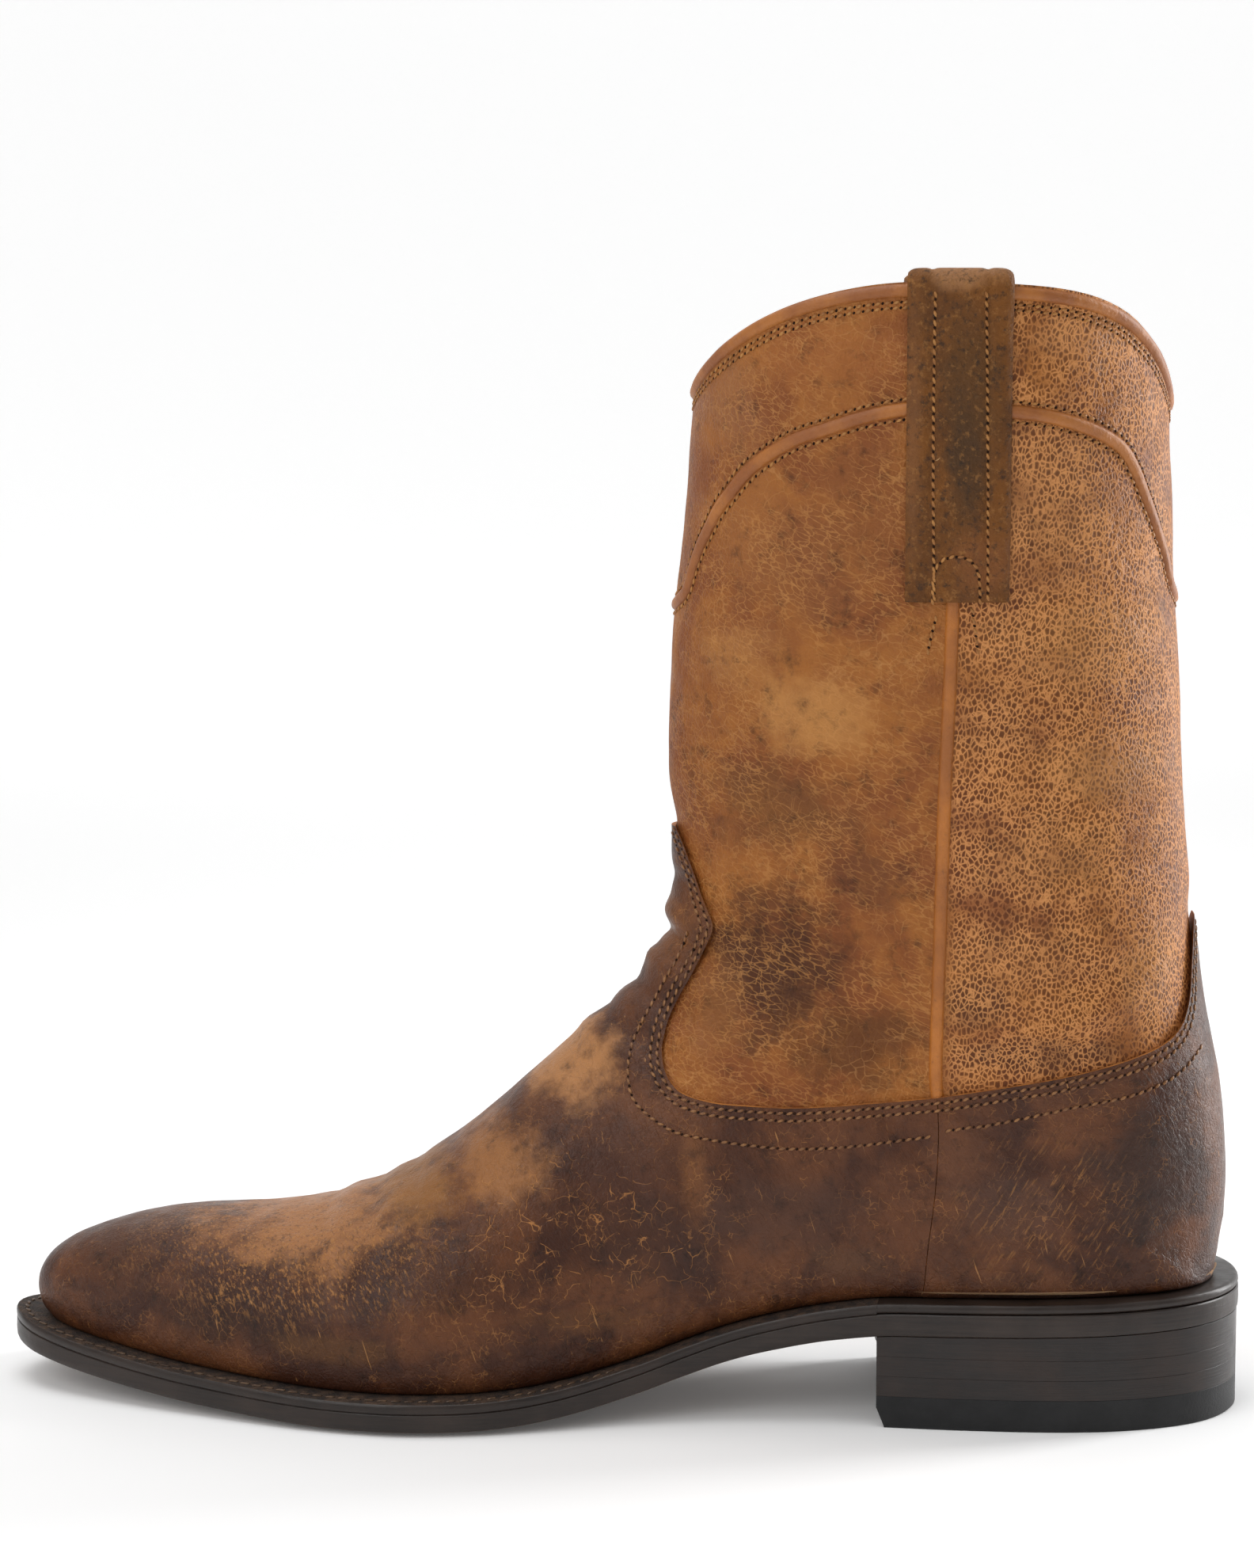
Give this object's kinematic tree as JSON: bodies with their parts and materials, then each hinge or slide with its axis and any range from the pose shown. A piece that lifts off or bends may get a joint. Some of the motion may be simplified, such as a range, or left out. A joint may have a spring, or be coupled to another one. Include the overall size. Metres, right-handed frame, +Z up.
{
  "type": "roper boot",
  "caption": "Pull-on leather roper boot: round toe, plain vamp, straight shaft with a curved collar, side pull straps, stitched welt and low stacked heel",
  "frame": {"origin": "centre of the underside of the boot's box, on the floor that heel and forefoot stand on", "axes": "+X runs from the toe to the heel, +Y towards the inner side of the foot, +Z up"},
  "size_m": [0.3069, 0.1026, 0.2778],
  "materials": {
    "upper_leather": "waxed and distressed full-grain leather, tan to reddish brown",
    "strap_leather": "the same leather, darkened and scuffed",
    "sole_leather": "leather with a black-brown inked and burnished edge",
    "welt_leather": "dark brown leather, rough on top, inked edge",
    "heel_leather": "stacked leather, inked and burnished",
    "heel_rubber": "matt black rubber",
    "insole_leather": "natural vegetable-tanned leather, matt"
  },
  "bodies": {
    "root": {"upper": "upper_leather", "pull_strap_outer": "strap_leather", "pull_strap_inner": "strap_leather", "insole": "insole_leather", "welt": "welt_leather", "heel_rand": "sole_leather", "outsole": "sole_leather", "heel_lift_upper": "heel_leather", "heel_lift_middle": "heel_leather", "heel_lift_lower": "heel_leather", "top_lift": "heel_rubber"}
  },
  "joints": []
}
